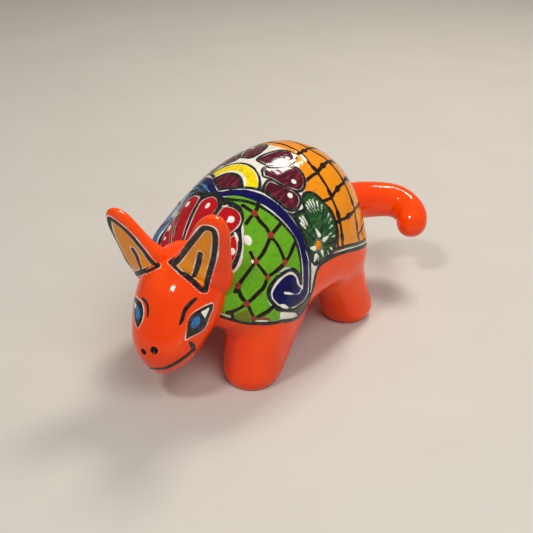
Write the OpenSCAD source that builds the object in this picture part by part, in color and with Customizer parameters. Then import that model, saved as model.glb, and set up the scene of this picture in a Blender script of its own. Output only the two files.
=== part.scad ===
// Glazed clay armadillo: a hollow body pressed in two halves, with the head, ears,
// legs and tail shaped separately and joined on with slip before firing.
// The animal faces -Y and its left side is +X. It stands on z = 0.

/* [Body] */
// Width of the body at its widest line
body_w = 74.4; // [68:0.2:82]
// Height of the top of the back above the table
back_h = 84; // [78:1:90]
// Height of the body's widest line above the table
waist_h = 38; // [35:1:41]
// Height of the underside of the belly above the table
belly_h = 21; // [19:1:23]
// Length from the collar to the highest part of the back
fore_len = 63; // [58:1:66]
// Length from the highest part of the back to the rump
rear_len = 42.5; // [40:0.5:46]
// Thickness of the fired clay wall
wall = 5; // [4:0.5:6]
// Diameter of the vent hole under the belly
vent_d = 9; // [7:1:12]

/* [Legs] */
// Distance of each front foot's middle from the midplane
front_foot_x = 23.8; // [22.4:0.2:25]
// Distance of each rear foot's middle from the midplane
rear_foot_x = 24.7; // [23:0.1:25.4]
// Radius of a front foot
front_foot_r = 11.4; // [11:0.2:12.4]
// Radius of a rear foot
rear_foot_r = 12; // [11.4:0.2:12.6]
// Radius of the flat underside of each foot
foot_flat_r = 9.6; // [8:0.2:10]
// Diameter of the hollow inside each leg
leg_bore_d = 13; // [8:1:14]

/* [Head] */
// Half width of the head across the cheeks
cheek_r = 19; // [17:0.5:20]
// Turn of the head towards the animal's left, in degrees
head_yaw = 10; // [0:1:15]
// Half width of an ear at its root
ear_half_w = 10.5; // [9:0.5:12]

/* [Tail] */
// Radius of the tail at its root
tail_r = 9.4; // [8:0.2:10]

/* [Hidden] */

mid_y = 8.17;         // middle of the whole length, which stands over the origin
crown_y = 12;         // where the back is highest, before centring
body_rings = 30;      // rings from collar to rump
half_columns = 22;    // steps round half a section
section_n = 1.95;     // superellipse power of a section above the waist
belly_n = 2.4;        // and of the squarer section below it
plan_n = 2.15;        // power of the body's outline seen from above
shoulder_n = 4;       // power of the squarer outline low down at the front
tube_sides = 28;      // sides of the head, legs and tail
leg_rings = 17;       // steps up a leg above its rounded edge
ear_sides = 24;
airway_d = 8;         // passages that join each leg's hollow to the body's
neck_d = 12;          // passage between the hollow of the head and the body
foot_edge = 1.4;      // height of the rounded edge of a foot
flare_z = 38;         // where a leg is widest, beside the body
leg_top = 50;         // where it ends, inside the body before it is cut away

// Solids keep their place in a frame whose middle is put over the origin here
module centred() translate([0, -mid_y, 0]) children();
module on_side(side) mirror([side < 0 ? 1 : 0, 0, 0]) children();

// ---- curves ----

function signed_pow(v, p) = sign(v) * pow(abs(v), p);
function smooth(a, b, x) = let (t = min(1, max(0, (x - a) / (b - a)))) t * t * (3 - 2 * t);
function unit(v) = v / norm(v);

// Slope at knot i of the curve through values v at knots k
function slope(k, v, i) =
    let (a = max(0, i - 1), b = min(len(k) - 1, i + 1)) (v[b] - v[a]) / (k[b] - k[a]);
function span(k, t, i = 0) = i >= len(k) - 2 || t < k[i + 1] ? i : span(k, t, i + 1);

// Smooth curve (cubic Hermite) through values v at knots k, at position t
function curve(k, v, t) =
    let (i = span(k, t), h = k[i + 1] - k[i], s = (t - k[i]) / h)
    (2 * pow(s, 3) - 3 * pow(s, 2) + 1) * v[i] + (3 * pow(s, 2) - 2 * pow(s, 3)) * v[i + 1]
    + (pow(s, 3) - 2 * pow(s, 2) + s) * h * slope(k, v, i)
    + (pow(s, 3) - pow(s, 2)) * h * slope(k, v, i + 1);
function even(stations) = [for (i = [0:len(stations) - 1]) i / (len(stations) - 1)];

// Superellipse section round a centre: half width w along side, r1 above and r2 below along up
function section(centre, side, up, w, r1, r2, n, sides) =
    [for (j = [0:sides - 1])
        let (c = signed_pow(cos(360 * j / sides), 2 / n), s = signed_pow(sin(360 * j / sides), 2 / n))
        centre + w * c * side + (s > 0 ? r1 : r2) * s * up];

// Fullness of a rounded end that closes over the last part of a form
function closing(t, part, n) =
    let (s = max(0, (t - (1 - part)) / part)) pow(max(0, 1 - pow(s, n)), 1 / n);

// Solid skin over rings of points, flat at its first ring and drawn to a point at tip, if given
module skin(rings, tip = undef) {
    n = len(rings[0]);
    m = len(rings);
    points = [for (r = rings) each r];
    walls = [for (i = [0:m - 2], j = [0:n - 1])
        let (a = i * n + j, b = i * n + (j + 1) % n) each [[a, b + n, a + n], [a, b, b + n]]];
    first = [[for (j = [n - 1:-1:0]) j]];
    last = is_undef(tip) ? [[for (j = [0:n - 1]) (m - 1) * n + j]]
        : [for (j = [0:n - 1]) [(m - 1) * n + j, (m - 1) * n + (j + 1) % n, m * n]];
    polyhedron(is_undef(tip) ? points : concat(points, [tip]), concat(first, walls, last), convexity = 6);
}

// ---- body ----

// Point of the body: turn runs from -90 at the collar to 90 at the rump, lift goes round the
// section from 0 on the animal's left, and inset is how far the surface lies inside the outer one
function body_point(turn, lift, inset) =
    let (s = sin(lift),
         low = turn < 0 ? smooth(0.75, -0.1, s) : 0,
         n_plan = plan_n + (shoulder_n - plan_n) * low,
         along = signed_pow(sin(turn), 2 / plan_n),
         reach = pow(max(0, 1 - pow(abs(along), n_plan)), 1 / n_plan),
         n_sec = section_n + (belly_n - section_n) * smooth(0.2, -0.4, s),
         up = signed_pow(s, 2 / n_sec))
    [(body_w / 2 - inset) * reach * signed_pow(cos(lift), 2 / n_sec),
     crown_y + along * ((along < 0 ? fore_len : rear_len) - inset),
     waist_h + up * reach * ((up > 0 ? back_h - waist_h : waist_h - belly_h) - inset)];
function ring_turn(i) = -90 + 180 * i / body_rings;

// The whole outer form, solid, for cutting the parts that are joined to it
module body_form() {
    n = half_columns * 2;
    tip = body_point(90, 0, 0);
    rings = [for (i = [1:body_rings - 1]) [for (j = [0:n - 1]) body_point(ring_turn(i), 360 * j / n, 0)]];
    points = concat([for (r = rings) each r], [body_point(-90, 0, 0), tip]);
    m = body_rings - 1;
    walls = [for (i = [0:m - 2], j = [0:n - 1])
        let (a = i * n + j, b = i * n + (j + 1) % n) each [[a, b + n, a + n], [a, b, b + n]]];
    ends = [for (j = [0:n - 1]) let (k = (j + 1) % n)
        each [[m * n, k, j], [m * n + 1, (m - 1) * n + j, (m - 1) * n + k]]];
    polyhedron(points, concat(walls, ends), convexity = 4);
}

// One pressed half: the outer and inner skins of x >= 0, joined along the midplane
module half_shell() {
    m = body_rings - 1;
    n = half_columns + 1;
    skins = [for (inset = [0, wall]) each
        concat([for (i = [1:m], j = [0:n - 1])
            body_point(ring_turn(i), -90 + 180 * j / half_columns, inset)],
            [body_point(-90, 90, inset), body_point(90, 90, inset)])];
    inner = m * n + 2;
    outside = concat(
        [for (i = [0:m - 2], j = [0:n - 2]) let (a = i * n + j) each [[a, a + n + 1, a + n], [a, a + 1, a + n + 1]]],
        [for (j = [0:n - 2]) each [[m * n, j + 1, j], [m * n + 1, (m - 1) * n + j, (m - 1) * n + j + 1]]]);
    inside = [for (f = outside) [f[0] + inner, f[2] + inner, f[1] + inner]];
    // the edge runs from the collar over the back to the rump, then under the belly to the collar
    edge = concat([m * n], [for (i = [0:m - 1]) i * n + n - 1], [m * n + 1], [for (i = [m - 1:-1:0]) i * n]);
    rim = [for (k = [0:len(edge) - 1]) let (a = edge[k], b = edge[(k + 1) % len(edge)])
        each [[a, b + inner, b], [a, a + inner, b + inner]]];
    polyhedron(skins, concat(outside, inside, rim), convexity = 6);
}

// Passages: the vent under the belly, one into each leg and one into the head
module airways() {
    translate([0, crown_y, belly_h - wall]) cylinder(h = 4 * wall, d = vent_d, $fn = 48);
    for (side = [-1, 1]) on_side(side) {
        translate([front_bore_x, front_bore_y, belly_h - wall]) cylinder(h = 5 * wall, d = airway_d, $fn = 48);
        translate([rear_bore_x, rear_bore_y, belly_h - wall]) cylinder(h = 5 * wall, d = airway_d, $fn = 48);
    }
    translate([0, neck_y, neck_z]) rotate([90, 0, 0]) cylinder(h = 6 * wall, d = neck_d, center = true, $fn = 48);
}

module body_half(side) {
    color("darkolivegreen") centred() difference() {
        on_side(side) half_shell();
        airways();
    }
}

// ---- legs ----

front_bore_x = front_foot_x - 0.8;
front_bore_y = -32;
rear_bore_x = rear_foot_x - 1.2;
rear_bore_y = 31.5;
leg_bore_floor = 7;

// Stations of a leg: height, centre x and y, then half width, reach forward and reach back
function front_leg() = let (r = front_foot_r, x = front_foot_x) [
    [0, x, -34.6, foot_flat_r, foot_flat_r, foot_flat_r],
    [foot_edge, x, -34.6, r - 0.6, r - 0.6, r + 1],
    [5, x, -34.5, r + 0.6, r, r + 4.2],
    [14, x, -33.2, r + 1.4, r - 0.5, r + 11],
    [22, x + 0.2, -32, r + 1.8, r - 0.6, r + 16.6],
    [30, x - 0.2, -31, r + 2.1, r + 0.1, r + 19.6],
    [flare_z, x - 1.8, -30, r + 2.2, r + 1.6, r + 19.6],
    [leg_top, x - 7.8, -28, r - 1, r - 1, r + 14]];
function rear_leg() = let (r = rear_foot_r, x = rear_foot_x) [
    [0, x, 34, foot_flat_r, foot_flat_r, foot_flat_r],
    [foot_edge, x, 34, r - 1.1, r - 1.1, r - 1.1],
    [5, x, 33.8, r, r + 0.2, r + 0.2],
    [14, x - 0.4, 31.7, r - 0.5, r + 1, r - 0.6],
    [25, x - 1.3, 28, r, r + 4, r - 0.2],
    [flare_z, x - 2.7, 25.5, r, r + 7, r + 2],
    [leg_top, x - 9, 24, r - 3, r + 4, r]];

module leg_form(stations) {
    k = [for (s = stations) s[0]];
    heights = concat([0, foot_edge * 0.4],
        [for (i = [0:leg_rings]) foot_edge + (leg_top - foot_edge) * i / leg_rings]);
    skin([for (z = heights) let (s = curve(k, stations, z))
        section([s[1], s[2], z], [1, 0, 0], [0, -1, 0], s[3], s[4], s[5], 2.1, tube_sides)]);
}

module leg(side, stations, bore_x, bore_y) {
    color("orangered") centred() on_side(side) difference() {
        leg_form(stations);
        body_form();
        translate([bore_x, bore_y, leg_bore_floor]) cylinder(h = leg_top, d = leg_bore_d, $fn = 64);
    }
}

// ---- head and ears ----

neck_y = -44;
neck_z = 43;

// Stations of the head from inside the collar to the nose: centre, half width, rise, drop
head_line = [
    [1, -36, 46, cheek_r - 3, 13, 14],
    [2, -47, 44.5, cheek_r, 13.5, 16],
    [4, -57, 37, cheek_r - 1, 14, 17],
    [5.8, -66, 26, cheek_r - 5, 11, 14],
    [6.8, -72, 15, cheek_r - 9, 8, 9.5]];
head_side = unit([cos(head_yaw), sin(head_yaw), 0.1]);
snout_round = 0.28;   // part of the length over which the snout closes

function xyz(s) = [s[0], s[1], s[2]];

// Form along a line of stations, with a rounded far end
module along_line(stations, side, rings, close) {
    k = even(stations);
    at = [for (i = [0:rings]) 1 - pow(1 - i / rings, 1.6)];
    skin([for (i = [0:rings - 1])
        let (t = at[i], s = curve(k, stations, t), e = 0.01,
             dir = unit(xyz(curve(k, stations, min(1, t + e))) - xyz(curve(k, stations, max(0, t - e)))),
             across = unit(side - (side * dir) * dir), full = closing(t, close, 2))
        section(xyz(s), across, cross(across, dir), s[3] * full, s[4] * full, s[5] * full, 2, tube_sides)],
        xyz(stations[len(stations) - 1]));
}
module head_form() along_line(head_line, head_side, 26, snout_round);

module head() {
    color("orangered") centred() difference() {
        head_form();
        body_form();
        hull() {
            translate([2, -48, 44]) sphere(r = 8, $fn = 24);
            translate([5, -63, 29]) sphere(r = 7, $fn = 24);
        }
        translate([0, neck_y, neck_z]) rotate([90, 0, 0])
            cylinder(h = 6 * wall, d = neck_d, center = true, $fn = 48);
    }
}

ear_rings = 18;
ear_root = 0.38;      // part of an ear's length over which it swells from its root, inside the head
ear_tip = 0.2;        // part of its length over which the tip rounds off

// Ear: a leaf from a narrow root to a rounded tip, flatter in front than behind
module ear(root, tip, half_w, facing, front, back) {
    axis = unit(tip - root);
    out = unit(facing - (facing * axis) * axis);
    color("orangered") centred() difference() {
        skin([for (i = [0:ear_rings - 1])
            let (t = 1 - pow(1 - i / ear_rings, 1.5), full = closing(t, ear_tip, 2.2),
                 swell = 0.45 + 0.55 * smooth(0, ear_root, t), deep = (1 - 0.45 * t) * full)
            section(root + t * (tip - root), cross(axis, out), out, half_w * (1.05 - 0.66 * t) * swell * full,
                    front * deep, back * deep, 2.2, ear_sides)], tip);
        head_form();
        body_form();
    }
}

// Each ear's root, tip and the way its hollow face looks were set by hand, so they differ
module ear_left() ear([9.5, -50.5, 41], [25, -56, 82], ear_half_w + 3.2, [0.55, -0.8, 0.25], 3.4, 9.5);
module ear_right() ear([-8, -54, 43], [-22, -65, 75.5], ear_half_w + 2, [-0.1, -0.95, 0.3], 3.2, 6.5);

// ---- tail ----

// Stations of the tail from inside the rump to its tip, which hangs at the animal's left
tail_line = [
    [0, 48, 41.5, tail_r + 0.4, tail_r + 0.4, tail_r + 0.4],
    [2, 62, 40.6, tail_r, tail_r, tail_r],
    [7, 76, 39.2, tail_r - 0.4, tail_r - 0.4, tail_r - 0.4],
    [17.5, 86.2, 37.6, tail_r - 1.2, tail_r - 1.2, tail_r - 1.2],
    [28.2, 84, 33.8, tail_r - 1.8, tail_r - 1.8, tail_r - 1.8],
    [32.2, 75, 27.8, tail_r - 2.2, tail_r - 2.2, tail_r - 2.2]];

module tail() {
    color("orangered") centred() difference() {
        along_line(tail_line, [0, 0, 1], 30, 0.13);
        body_form();
    }
}

body_half(1);  // body_left_half
body_half(-1);  // body_right_half
head();
ear_left();
ear_right();
leg(1, front_leg(), front_bore_x, front_bore_y);  // leg_front_left
leg(-1, front_leg(), front_bore_x, front_bore_y);  // leg_front_right
leg(1, rear_leg(), rear_bore_x, rear_bore_y);  // leg_rear_left
leg(-1, rear_leg(), rear_bore_x, rear_bore_y);  // leg_rear_right
tail();
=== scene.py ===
"""A glazed clay armadillo painted with enamel: two shell halves, head, two ears, four legs and a tail.

Lengths are millimetres until a mesh is made. The maker's frame has the shell's collar at y = COLLAR
and seat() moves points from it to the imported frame. Paint is laid out on charts: on the shell a
chart is (y in mm, lift in degrees round the section, 0 at the left widest line and 90 on the spine),
and the right half of the shell is the left one mirrored.
"""
import math

import bpy
import numpy as np
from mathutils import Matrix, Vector


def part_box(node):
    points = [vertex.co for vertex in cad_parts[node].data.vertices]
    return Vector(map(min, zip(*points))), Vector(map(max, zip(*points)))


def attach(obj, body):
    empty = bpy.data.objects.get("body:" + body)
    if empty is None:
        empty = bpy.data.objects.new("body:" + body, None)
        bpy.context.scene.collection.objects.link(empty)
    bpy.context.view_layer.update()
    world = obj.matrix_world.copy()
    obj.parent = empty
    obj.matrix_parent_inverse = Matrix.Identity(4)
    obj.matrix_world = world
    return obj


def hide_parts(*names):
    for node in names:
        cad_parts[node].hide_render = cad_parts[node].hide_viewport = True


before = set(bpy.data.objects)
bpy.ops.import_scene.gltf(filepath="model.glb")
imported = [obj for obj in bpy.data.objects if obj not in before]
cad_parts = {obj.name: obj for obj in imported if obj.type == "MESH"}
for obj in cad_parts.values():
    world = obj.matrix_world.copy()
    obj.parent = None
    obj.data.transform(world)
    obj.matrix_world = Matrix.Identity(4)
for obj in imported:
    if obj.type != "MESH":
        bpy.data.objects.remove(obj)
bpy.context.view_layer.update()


# ---- driving sizes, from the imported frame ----

MM = 0.001
shell_low, shell_high = [np.array(corner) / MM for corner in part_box("body_left_half")]
COLLAR = -51.0                      # the shell's front end
CROWN = 12.0                        # where its back is highest
WAIST = 38.0                        # height of its widest line
FORE = CROWN - COLLAR
REAR = shell_high[1] - shell_low[1] - FORE
HALF_W = shell_high[0]
RISE = shell_high[2] - WAIST
DROP = WAIST - shell_low[2]
END_POWER = 2.15                    # superellipse power of the shell's run from end to end, at its back
WALL = 5.0
VENT_R = 4.5
MESH = 0.42                         # spacing of the grid on painted pieces
FAR = 9.0                           # what a paint field holds where its paint is nowhere near


# ---- curves and small helpers ----


def spow(value, power):
    """Power that keeps the sign."""
    return np.sign(value) * np.abs(value) ** power


def ease(start, end, value):
    """0 before start, 1 after end, and a smooth cubic between."""
    t = np.clip((value - start) / (end - start), 0, 1)
    return t * t * (3 - 2 * t)


def curve(knots, values, t):
    """Cubic Hermite curve through values at knots; each knot's slope is that between its neighbours."""
    knots = np.asarray(knots, float)
    values = np.asarray(values, float)
    before = np.maximum(np.arange(len(knots)) - 1, 0)
    after = np.minimum(np.arange(len(knots)) + 1, len(knots) - 1)
    slopes = (values[after] - values[before]) / (knots[after] - knots[before])[:, None]
    i = np.clip(np.searchsorted(knots, t, side="right") - 1, 0, len(knots) - 2)
    h = (knots[i + 1] - knots[i])[..., None]
    s = (np.asarray(t, float) - knots[i])[..., None] / h
    return ((2 * s ** 3 - 3 * s ** 2 + 1) * values[i] + (3 * s ** 2 - 2 * s ** 3) * values[i + 1]
            + (s ** 3 - 2 * s ** 2 + s) * h * slopes[i] + (s ** 3 - s ** 2) * h * slopes[i + 1])


def unit(vectors):
    """Vectors of length 1."""
    vectors = np.asarray(vectors, float)
    return vectors / np.maximum(np.linalg.norm(vectors, axis=-1, keepdims=True), 1e-9)


def grid_normals(rings, wrap):
    """Outward normals of a grid: the cross product of its two directions' differences."""
    if wrap:
        padded = np.concatenate([rings[:, -1:], rings, rings[:, :1]], 1)
        round_way = padded[:, 2:] - padded[:, :-2]
    else:
        round_way = np.gradient(rings, axis=1)
    normals = unit(np.cross(np.gradient(rings, axis=0), round_way))
    outward = (normals * (rings - rings.mean((0, 1)))).sum()
    return normals if outward > 0 else -normals


# ---- the shell's form ----


def shell_section(y, lift):
    """How full the section at y is, from 0 to 1, and the superellipse power of its curve at that lift."""
    s = np.sin(lift)
    along = np.clip(np.where(y < CROWN, (y - CROWN) / FORE, (y - CROWN) / REAR), -1, 1)
    power = END_POWER + 1.85 * ease(0.75, -0.1, s) * (along < 0)
    reach = (1 - np.abs(along) ** power) ** (1 / power)
    return reach, 1.95 + 0.45 * ease(0.2, -0.4, s)


def shell_point(y, lift_degrees, inset=0.0):
    """Point of the shell: a superellipse section that closes over both ends, shrunk by inset."""
    lift = np.radians(lift_degrees)
    reach, power = shell_section(y, lift)
    up = spow(np.sin(lift), 2 / power)
    length = np.where(y < CROWN, (FORE - inset) / FORE, (REAR - inset) / REAR)
    return np.stack([(HALF_W - inset) * reach * spow(np.cos(lift), 2 / power),
                     CROWN + (y - CROWN) * length,
                     WAIST + up * reach * (np.where(up > 0, RISE, DROP) - inset)], -1)


def lift_of(points):
    """The lift at which the shell's section points at each point, found by repeating its inverse."""
    x, v = points[..., 0], points[..., 2] - WAIST
    height = np.where(v > 0, RISE, DROP)
    lift = np.arctan2(v / height, x / HALF_W)
    for _ in range(6):
        power = shell_section(points[..., 1], lift)[1]
        lift = np.arctan2(spow(v / height, power / 2), spow(x / HALF_W, power / 2))
    return np.degrees(lift)


def shell_gap(points):
    """Distance outside the shell, measured towards its axis in the section through each point."""
    x, v = points[..., 0], points[..., 2] - WAIST
    reach, power = shell_section(points[..., 1], np.radians(lift_of(points)))
    reach = np.maximum(reach, 0.03)
    height = np.where(v > 0, RISE, DROP)
    across = np.abs(x) / (HALF_W * reach)
    up = np.abs(v) / (height * reach)
    share = (across ** power + up ** power) ** (1 / power)
    return np.hypot(x, v) * (1 - 1 / np.maximum(share, 0.05))


# ---- the legs' form ----


# Stations of a left leg: height, centre x and y, half width, reach forward and reach back
FRONT_LEG = [(0, 23.8, -34.6, 9.8, 9.8, 9.8), (1.4, 23.8, -34.6, 10.8, 10.8, 12.4),
             (5, 23.8, -34.5, 12, 11.4, 15.6), (14, 23.8, -33.2, 12.8, 10.9, 22.4),
             (22, 24, -32, 13.2, 10.8, 28), (30, 23.6, -31, 13.5, 11.5, 31),
             (38, 22, -30, 13.6, 13, 31), (50, 16, -28, 10.4, 10.4, 25)]
REAR_LEG = [(0, 24.7, 34, 9.6, 9.6, 9.6), (1.4, 24.7, 34, 10.9, 10.9, 10.9),
            (5, 24.7, 33.8, 12, 12.2, 12.2), (14, 24.3, 31.7, 11.5, 13, 11.4),
            (25, 23.4, 28, 12, 16, 11.8), (38, 22, 25.5, 12, 19, 14), (50, 15.7, 24, 9, 16, 12)]
LEG_POWER = 2.1                     # superellipse power of a leg's level section


def leg_gap(points, stations):
    """Distance outside a leg, measured towards its axis in the level section through each point."""
    heights = [station[0] for station in stations]
    at = curve(heights, [station[1:] for station in stations], np.clip(points[..., 2], 0, heights[-1]))
    dx = points[..., 0] - at[..., 0]
    dy = points[..., 1] - at[..., 1]
    reach = np.where(dy < 0, at[..., 3], at[..., 4])
    share = ((np.abs(dx) / at[..., 2]) ** LEG_POWER
             + (np.abs(dy) / reach) ** LEG_POWER) ** (1 / LEG_POWER)
    gap = np.hypot(dx, dy) * (1 - 1 / np.maximum(share, 0.05))
    above = np.maximum(points[..., 2] - heights[-1], 0)
    return np.where(above > 0, np.hypot(np.maximum(gap, 0), above), gap)


def melt(points, way, own, other, width, travel=3.5, sink=0.6):
    """Joins two forms as wet clay does. Points move along way to the smooth union of both forms, where
    min(a, b) is lowered by (width - |a - b|)^2 / 4 width, and sink under the other form past the joint."""
    start = points
    moved = points.copy()
    travel = travel * ease(-2 * travel, -travel, other(start))
    for _ in range(7):
        a, b = own(moved), other(moved)
        near = np.clip(1 - np.abs(a - b) / width, 0, 1)
        level = np.minimum(a, b) - near ** 2 * width / 4
        step = ((moved - start) * way).sum(-1) - level
        moved = start + way * np.clip(step, 0, travel)[..., None]
    a, b = own(moved), other(moved)
    return moved - way * (sink * ease(0.4, 6, a - b))[..., None]


# ---- tubes: head and tail ----


HEAD_LINE = [(1, -36, 46, 16, 13, 14), (2, -47, 44.5, 19, 13.5, 16), (4, -57, 37, 18, 14, 17),
             (5.8, -66, 26, 14, 11, 14), (6.8, -72, 15, 10, 8, 9.5)]
HEAD_SIDE = unit([math.cos(math.radians(10)), math.sin(math.radians(10)), 0.1])
SNOUT_ROUND = 0.28
TAIL_LINE = [(0, 48, 41.5, 9.8, 9.8, 9.8), (2, 62, 40.6, 9.4, 9.4, 9.4), (7, 76, 39.2, 9, 9, 9),
             (17.5, 86.2, 37.6, 8.2, 8.2, 8.2), (28.2, 84, 33.8, 7.6, 7.6, 7.6),
             (32.2, 75, 27.8, 7.2, 7.2, 7.2)]
TAIL_ROUND = 0.13


def tube_frame(stations, side, t):
    """Centre, three radii, and the across and up directions of a tube at t from 0 to 1."""
    knots = np.linspace(0, 1, len(stations))
    at = curve(knots, stations, t)
    ahead = curve(knots, stations, np.minimum(1, t + 0.01))[..., :3]
    behind = curve(knots, stations, np.maximum(0, t - 0.01))[..., :3]
    heading = unit(ahead - behind)
    across = unit(side - (heading @ side)[..., None] * heading)
    return at[..., :3], at[..., 3:6], across, np.cross(across, heading)


def tube_point(stations, side, close, t, turn_degrees):
    """Point of a tube: ellipse sections with a taller or lower upper half, closed over its far end."""
    centre, radii, across, up = tube_frame(stations, side, t)
    full = np.sqrt(np.clip(1 - np.clip((t - 1 + close) / close, 0, 1) ** 2, 0, 1))
    c = np.cos(np.radians(turn_degrees))
    s = np.sin(np.radians(turn_degrees))
    tall = np.where(s > 0, radii[..., 1], radii[..., 2])
    return (centre + (c * radii[..., 0] * full)[..., None] * across
            + (s * tall * full)[..., None] * up)


def head_point(t, turn_degrees):
    """Point of the head: t from the collar to the nose, turn from the animal's left, negative over its
    brow and positive under its chin."""
    return tube_point(HEAD_LINE, HEAD_SIDE, SNOUT_ROUND, t, turn_degrees)


def head_gap(points):
    """Distance outside the head, measured towards the nearest of 80 sections of its line."""
    t = np.linspace(0, 1 - SNOUT_ROUND * 0.6, 80)
    centre, radii, across, up = tube_frame(HEAD_LINE, HEAD_SIDE, t)
    nearest = np.argmin(((points[:, None] - centre[None]) ** 2).sum(-1), 1)
    offset = points - centre[nearest]
    a = (offset * across[nearest]).sum(-1)
    b = (offset * up[nearest]).sum(-1)
    tall = np.where(b > 0, radii[nearest, 1], radii[nearest, 2])
    share = np.hypot(a / radii[nearest, 0], b / tall)
    return np.hypot(a, b) * (1 - 1 / np.maximum(share, 0.05))


# ---- ears ----


# Root, tip, half width, the way the hollow face looks, and depth in front and behind
EAR_LEFT = ((9.5, -50.5, 41), (25, -56, 82), 13.7, (0.55, -0.8, 0.25), 3.4, 9.5)
EAR_RIGHT = ((-8, -54, 43), (-22, -65, 75.5), 12.5, (-0.1, -0.95, 0.3), 3.2, 6.5)
EAR_POWER = 2.2


def ear_frame(ear):
    """An ear's axis, its face's outward direction, the direction across it, and its length."""
    root, tip = np.array(ear[0], float), np.array(ear[1], float)
    axis = unit(tip - root)
    facing = np.array(ear[3], float)
    out = unit(facing - (facing @ axis) * axis)
    return axis, out, np.cross(axis, out), np.linalg.norm(tip - root)


def ear_rings(ear, t, turn_degrees):
    """An ear: superellipse sections along its axis, swelling from a narrow root, closed at the tip."""
    axis, out, across, length = ear_frame(ear)
    full = (1 - np.clip((t - 0.8) / 0.2, 0, 1) ** EAR_POWER) ** (1 / EAR_POWER)
    half = ear[2] * (1.05 - 0.66 * t) * (0.45 + 0.55 * ease(0, 0.38, t)) * full
    c = spow(np.cos(np.radians(turn_degrees)), 2 / EAR_POWER)
    s = spow(np.sin(np.radians(turn_degrees)), 2 / EAR_POWER)
    deep = np.where(s > 0, ear[4], ear[5]) * (1 - 0.45 * t) * full
    return (np.array(ear[0], float) + (t * length)[..., None] * axis
            + (half * c)[..., None] * across + (deep * s)[..., None] * out)


# ---- painting ----


def brush_line(route, steps=5):
    """Smooth line through the route's points, steps to a span."""
    route = np.asarray(route, float)
    count = len(route) - 1
    return curve(np.arange(count + 1), route, np.linspace(0, count, count * steps + 1))


def segment_gap(points, start, end):
    """Distance from points to a straight segment, and how far along it the nearest place is, 0 to 1."""
    step = end - start
    t = np.clip(((points - start) @ step) / max(step @ step, 1e-9), 0, 1)
    return np.linalg.norm(points - start - t[:, None] * step, axis=1), t


class Chart:
    """Where a piece's points lie on its chart (u, v), and their places on its plain form, in mm."""

    def __init__(self, u, v, place):
        self.u = np.ravel(u)
        self.v = np.ravel(v)
        self.place = place
        self.points = place(self.u, self.v)

    def empty(self):
        """A field with no paint in it."""
        return np.full(self.u.shape, FAR)

    def near(self, spots, middle, spread):
        """Which points are close enough to the spots, which lie about the middle, to matter."""
        far_off = np.linalg.norm(spots - middle, axis=1).max() + spread + FAR / 3
        return np.flatnonzero(np.linalg.norm(self.points - middle, axis=-1) < far_off)

    def stroke(self, route, width, steps=5):
        """Distance to the edge of a brush stroke along the route, negative under the paint. Width is one
        number or one for each point of the route."""
        widths = np.broadcast_to(np.asarray(width, float), (len(route),))
        line = brush_line(np.column_stack([np.asarray(route, float), widths]), steps)
        spots = self.place(line[:, 0], line[:, 1])
        half = np.maximum(line[:, 2], 0) / 2
        near = self.near(spots, spots.mean(0), half.max())
        field = self.empty()
        points = self.points[near]
        best = np.full(len(near), FAR)
        for k in range(len(spots) - 1):
            gap, t = segment_gap(points, spots[k], spots[k + 1])
            best = np.minimum(best, gap - half[k] - t * (half[k + 1] - half[k]))
        field[near] = best
        return field

    def patch(self, outline, steps=4):
        """Distance to a closed outline, negative inside it, where crossings of the outline are odd."""
        outline = np.asarray(list(outline) + [outline[0]], float)
        line = brush_line(outline, steps)
        spots = self.place(line[:, 0], line[:, 1])
        near = self.near(spots, (spots.min(0) + spots.max(0)) / 2, 0)
        field = self.empty()
        points, u, v = self.points[near], self.u[near], self.v[near]
        best = np.full(len(near), FAR)
        inside = np.zeros(len(near), bool)
        for k in range(len(spots) - 1):
            best = np.minimum(best, segment_gap(points, spots[k], spots[k + 1])[0])
            (u0, v0), (u1, v1) = line[k, :2], line[k + 1, :2]
            if v0 != v1:
                inside ^= ((v0 > v) != (v1 > v)) & (u < (u1 - u0) * (v - v0) / (v1 - v0) + u0)
        field[near] = np.where(inside, -best, best)
        return field

    def strokes(self, routes, width):
        """Several strokes in one field."""
        return np.minimum.reduce([self.stroke(route, width) for route in routes])

    def patches(self, outlines):
        """Several patches in one field."""
        return np.minimum.reduce([self.patch(outline) for outline in outlines])

    def dots(self, spots):
        """Round dabs, each given by its place and radius."""
        field = self.empty()
        for u, v, radius in spots:
            gap = np.linalg.norm(self.points - self.place(np.array(u), np.array(v)), axis=-1)
            field = np.minimum(field, gap - radius)
        return np.minimum(field, FAR)


# ---- meshes ----


def seat(points):
    """From the maker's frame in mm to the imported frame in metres."""
    return (points + np.array([0, shell_low[1] - COLLAR, 0])) * MM


def ring_faces(rings, columns, wrap, start=0):
    """Quads between neighbouring rings of points."""
    i, j = np.meshgrid(np.arange(rings - 1), np.arange(columns if wrap else columns - 1), indexing="ij")
    a = start + i * columns + j
    b = start + i * columns + (j + 1) % columns
    return np.stack([a, b, b + columns, a + columns], -1).reshape(-1, 4)


def fan(ring, tip, turned=False):
    """Triangles from a closed or open row of points to one point."""
    a, b = (ring[1:], ring[:-1]) if turned else (ring[:-1], ring[1:])
    return np.stack([a, b, np.full(len(a), tip)], -1)


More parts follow.
